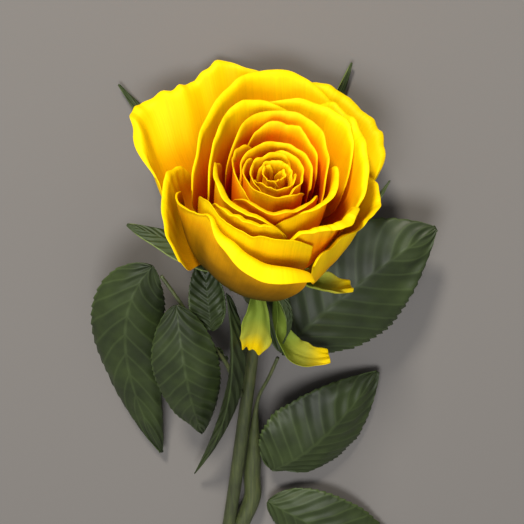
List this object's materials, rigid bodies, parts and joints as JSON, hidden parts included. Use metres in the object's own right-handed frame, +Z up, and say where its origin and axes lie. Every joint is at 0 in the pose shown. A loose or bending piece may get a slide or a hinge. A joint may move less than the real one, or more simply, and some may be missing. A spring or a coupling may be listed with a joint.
{
  "type": "cut rose",
  "caption": "Cut rose lying on its side: open double bloom with rolled petal rims, turned-back sepals, compound toothed leaves and a bare stem with a cut end",
  "frame": {"origin": "middle of the underside of the box round the whole rose, on the surface it lies on", "axes": "+Y from the cut end of the stem toward the bloom, +Z up, +X to the right as seen with the bloom at the top"},
  "size_m": [0.1288, 0.29, 0.075],
  "materials": {
    "petal": "petal tissue, matte and slightly velvety, bright yellow with golden depths",
    "guard_petal": "petal tissue, matte, yellow turning green",
    "sepal": "leafy tissue, matte green with pale edges",
    "leaf": "leaf tissue, dark green, waxy semi-gloss",
    "stem": "green bark, smooth and semi-matte"
  },
  "bodies": {
    "root": {"stem_with_hip": "stem", "petal_outer_back_left": "petal", "petal_outer_left": "petal", "petal_outer_back_right": "petal", "petal_outer_front": "petal", "petal_outer_right": "petal", "petal_middle_back": "petal", "petal_middle_right": "petal", "petal_middle_front": "petal", "petal_middle_front_right": "petal", "petal_inner_back_right": "petal", "petal_inner_back_left": "petal", "petal_inner_front": "petal", "petal_inner_front_left": "petal", "petal_inner_front_right": "petal", "petal_fold_back": "petal", "petal_fold_front": "petal", "petal_fold_right": "petal", "petal_fold_left": "petal", "petal_heart_1": "petal", "petal_heart_2": "petal", "petal_heart_3": "petal", "petal_heart_4": "petal", "petal_heart_5": "petal", "petal_heart_6": "petal", "petal_heart_7": "petal", "petal_heart_8": "petal", "sepal_back_left": "sepal", "sepal_back_right": "sepal", "sepal_right": "sepal", "sepal_left": "sepal", "sepal_front": "sepal", "guard_petal_front_left": "guard_petal", "guard_petal_front_right": "guard_petal", "guard_petal_right": "guard_petal", "stalk_left": "stem", "leaflet_left_end": "leaf", "leaflet_left_inner": "leaf", "leaflet_left_back": "leaf", "leaflet_left_small": "leaf", "stalk_upper": "stem", "leaflet_upper": "leaf", "stalk_lower": "stem", "leaflet_lower_end": "leaf", "leaflet_lower_upper": "leaf", "leaflet_lower_side": "leaf"}
  },
  "joints": []
}
